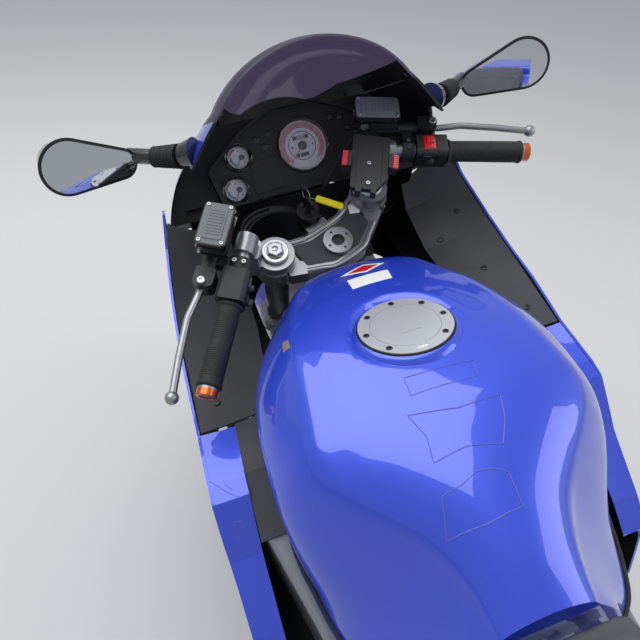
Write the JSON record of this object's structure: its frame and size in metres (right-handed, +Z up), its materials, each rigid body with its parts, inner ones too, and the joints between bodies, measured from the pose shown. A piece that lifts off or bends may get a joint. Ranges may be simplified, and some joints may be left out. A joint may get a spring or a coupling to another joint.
{
  "type": "sport bike",
  "caption": "Fully faired blue sport motorcycle leaning on its side stand, steering on the left lock, with turning wheels, steering, stand and a hinged fuel cap.",
  "frame": {"origin": "on the ground under the middle of the whole machine's bounding box", "axes": "+X to the rider's right, +Y forwards, +Z up"},
  "size_m": [0.8179, 2.1113, 1.1663],
  "materials": {
    "silver_frame": "cast and brushed, clear lacquered",
    "clamp_silver": "cast, lacquered",
    "engine_silver": "satin cast",
    "blue_gloss": "gloss blue lacquer",
    "blue_panel": "gloss blue lacquer on plastic",
    "black_trim": "grained black",
    "grey_panel": "matt dark grey",
    "smoke_screen": "smoke-tinted clear plastic",
    "lamp_glass": "clear lens",
    "red_lens": "red lens with amber indicators",
    "mirror_black": "gloss blue housing with black rim",
    "mirror_face": "silvered glass",
    "seat_grey": "grained vinyl",
    "grip_rubber": "matt ribbed",
    "tyre_rubber": "matt black",
    "wheel_white": "silver lacquer",
    "disc_steel": "ground",
    "axle_steel": "bright",
    "chain_steel": "oiled",
    "black_metal": "satin black",
    "pipe_steel": "heat-dulled stainless",
    "cap_silver": "brushed",
    "hose_black": "satin"
  },
  "bodies": {
    "chassis": {"frame": "silver_frame", "engine": "engine_silver", "radiator": "black_metal", "fuel_tank": "blue_gloss", "filler_ring": "cap_silver", "seat": "seat_grey", "tail_cowl": "blue_panel", "rear_lamps": "red_lens", "rear_mudguard": "black_trim", "nose_cowl": "blue_panel", "windscreen": "smoke_screen", "front_lamps": "lamp_glass", "dash": "black_trim", "cowl_lining": "black_trim", "fairing_right": "blue_panel", "fairing_left": "blue_panel", "inner_panels": "grey_panel", "mirrors": "mirror_black", "mirror_glass": "mirror_face", "swingarm": "silver_frame", "rear_axle": "axle_steel", "shock": "black_metal", "chain": "chain_steel", "exhaust": "pipe_steel", "foot_rests": "grip_rubber", "rear_caliper": "black_metal"},
    "steering": {"top_clamp": "clamp_silver", "lower_clamp": "clamp_silver", "fork_legs": "clamp_silver", "handlebars": "clamp_silver", "grips": "grip_rubber", "controls": "black_metal", "levers": "black_metal", "ignition": "cap_silver", "phone_holder": "black_trim", "front_mudguard": "blue_panel", "front_calipers": "black_metal", "front_axle": "axle_steel", "brake_lines": "hose_black"},
    "front_wheel": {"front_tyre": "tyre_rubber", "front_rim": "wheel_white", "front_discs": "disc_steel"},
    "rear_wheel": {"rear_tyre": "tyre_rubber", "rear_rim": "wheel_white", "rear_disc": "disc_steel", "rear_sprocket": "axle_steel"},
    "side_stand": {"side_stand": "black_metal"},
    "fuel_cap": {"fuel_cap": "cap_silver"}
  },
  "joints": [
    {"name": "steering", "type": "hinge", "parent": "chassis", "child": "steering", "pos_m": [0.04822, 0.5105, 0.76156], "axis": [-0.1543, -0.4192, 0.8947], "range_deg": [-44, 0]},
    {"name": "front_wheel", "type": "hinge", "parent": "steering", "child": "front_wheel", "pos_m": [0.11542, 0.77004, 0.28798], "axis": [0.8867, 0.3407, 0.3125], "continuous": true},
    {"name": "rear_wheel", "type": "hinge", "parent": "chassis", "child": "rear_wheel", "pos_m": [0.12668, -0.66737, 0.31179], "axis": [0.9854, 0.0006, 0.1702], "continuous": true},
    {"name": "side_stand", "type": "hinge", "parent": "chassis", "child": "side_stand", "pos_m": [-0.0694, -0.08161, 0.24627], "axis": [-0.9428, 0.1275, 0.308], "range_deg": [0, 92]},
    {"name": "fuel_cap", "type": "hinge", "parent": "chassis", "child": "fuel_cap", "pos_m": [0.02467, 0.14439, 0.89933], "axis": [0.9854, 0.0006, 0.1702], "range_deg": [0, 90]}
  ]
}
